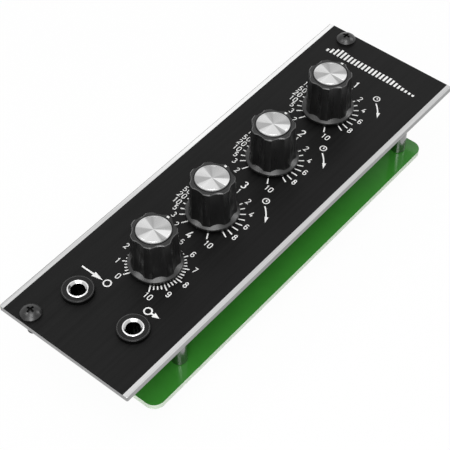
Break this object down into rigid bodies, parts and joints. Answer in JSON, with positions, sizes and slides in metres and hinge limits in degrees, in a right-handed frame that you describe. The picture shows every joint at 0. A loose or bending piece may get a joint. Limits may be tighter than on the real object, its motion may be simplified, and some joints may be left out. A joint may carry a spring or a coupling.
{
  "type": "eurorack synthesiser module",
  "caption": "Narrow 3U rack synthesiser module: black panel with bare edges, fluted knobs with metal caps, mini jacks with round nuts, and a circuit board on spacers behind.",
  "frame": {"origin": "under the centre of the panel, on the plane of the rear capacitors' tops that the module lies on", "axes": "+X across the panel, +Y along the panel towards the title end, +Z out of the panel's face"},
  "size_m": [0.0404, 0.1284, 0.0421],
  "materials": {
    "printed_panel": "black printed face, bare aluminium along the long edges",
    "black_screw": "blackened steel",
    "board_green": "glossy green solder mask on pale laminate",
    "polished_steel": "polished plating",
    "knob_black": "moulded black, soft gloss",
    "spun_aluminium": "spun finish, round lay",
    "mark_white": "white inlay",
    "pot_plastic": "moulded",
    "pot_metal": "tinned sheet",
    "carbon_track": "carbon film",
    "shaft_metal": "turned",
    "contact_metal": "spring brass",
    "tinned_lead": "tinned brass",
    "jack_plastic": "moulded black",
    "nut_black": "black anodised",
    "header_plastic": "moulded black",
    "pin_gold": "flash gold",
    "chip_black": "moulded epoxy",
    "can_metal": "drawn aluminium",
    "can_sleeve": "heat-shrunk sleeve",
    "film_case": "moulded case",
    "resistor_black": "glazed chip"
  },
  "bodies": {
    "module": {"front_panel": "printed_panel", "mounting_screws": "black_screw", "circuit_board": "board_green", "standoffs": "polished_steel", "standoff_screws": "polished_steel", "pot_terminals": "tinned_lead", "jack_terminals": "tinned_lead", "power_header": "header_plastic", "header_pins": "pin_gold", "opamp_chips": "chip_black", "capacitor_cans": "can_metal", "capacitor_sleeves": "can_sleeve", "film_capacitors": "film_case", "chip_resistors": "resistor_black", "signal_transistors": "chip_black", "power_diodes": "chip_black", "pot_housing_1": "pot_plastic", "pot_track_1": "carbon_track", "pot_cover_1": "pot_metal", "pot_housing_2": "pot_plastic", "pot_track_2": "carbon_track", "pot_cover_2": "pot_metal", "pot_housing_3": "pot_plastic", "pot_track_3": "carbon_track", "pot_cover_3": "pot_metal", "pot_housing_4": "pot_plastic", "pot_track_4": "carbon_track", "pot_cover_4": "pot_metal", "jack_housing_in": "jack_plastic", "jack_bushing_in": "polished_steel", "jack_nut_in": "nut_black", "jack_housing_out": "jack_plastic", "jack_bushing_out": "polished_steel", "jack_nut_out": "nut_black"},
    "control_1": {"knob_1": "knob_black", "knob_cap_1": "spun_aluminium", "pointer_1": "mark_white", "pot_shaft_1": "shaft_metal", "pot_wiper_1": "contact_metal"},
    "control_2": {"knob_2": "knob_black", "knob_cap_2": "spun_aluminium", "pointer_2": "mark_white", "pot_shaft_2": "shaft_metal", "pot_wiper_2": "contact_metal"},
    "control_3": {"knob_3": "knob_black", "knob_cap_3": "spun_aluminium", "pointer_3": "mark_white", "pot_shaft_3": "shaft_metal", "pot_wiper_3": "contact_metal"},
    "control_4": {"knob_4": "knob_black", "knob_cap_4": "spun_aluminium", "pointer_4": "mark_white", "pot_shaft_4": "shaft_metal", "pot_wiper_4": "contact_metal"},
    "tip_contact_in": {"jack_tip_spring_in": "contact_metal"},
    "tip_contact_out": {"jack_tip_spring_out": "contact_metal"}
  },
  "joints": [
    {"name": "knob_1_turn", "type": "hinge", "parent": "module", "child": "control_1", "pos_m": [0, 0.036, 0.02885], "axis": [0, 0, 1], "range_deg": [-150, 150]},
    {"name": "knob_2_turn", "type": "hinge", "parent": "module", "child": "control_2", "pos_m": [0, 0.0125, 0.02885], "axis": [0, 0, 1], "range_deg": [-150, 150]},
    {"name": "knob_3_turn", "type": "hinge", "parent": "module", "child": "control_3", "pos_m": [0, -0.011, 0.02885], "axis": [0, 0, 1], "range_deg": [-150, 150]},
    {"name": "knob_4_turn", "type": "hinge", "parent": "module", "child": "control_4", "pos_m": [0, -0.032, 0.02885], "axis": [0, 0, 1], "range_deg": [-150, 150]},
    {"name": "tip_contact_in_flex", "type": "hinge", "parent": "module", "child": "tip_contact_in", "pos_m": [-0.00875, -0.0465, 0.02395], "axis": [1, 0, 0], "range_deg": [0, 5], "stiffness_Nm_per_rad": 0.06},
    {"name": "tip_contact_out_flex", "type": "hinge", "parent": "module", "child": "tip_contact_out", "pos_m": [0.00875, -0.0465, 0.02395], "axis": [1, 0, 0], "range_deg": [0, 5], "stiffness_Nm_per_rad": 0.06}
  ]
}
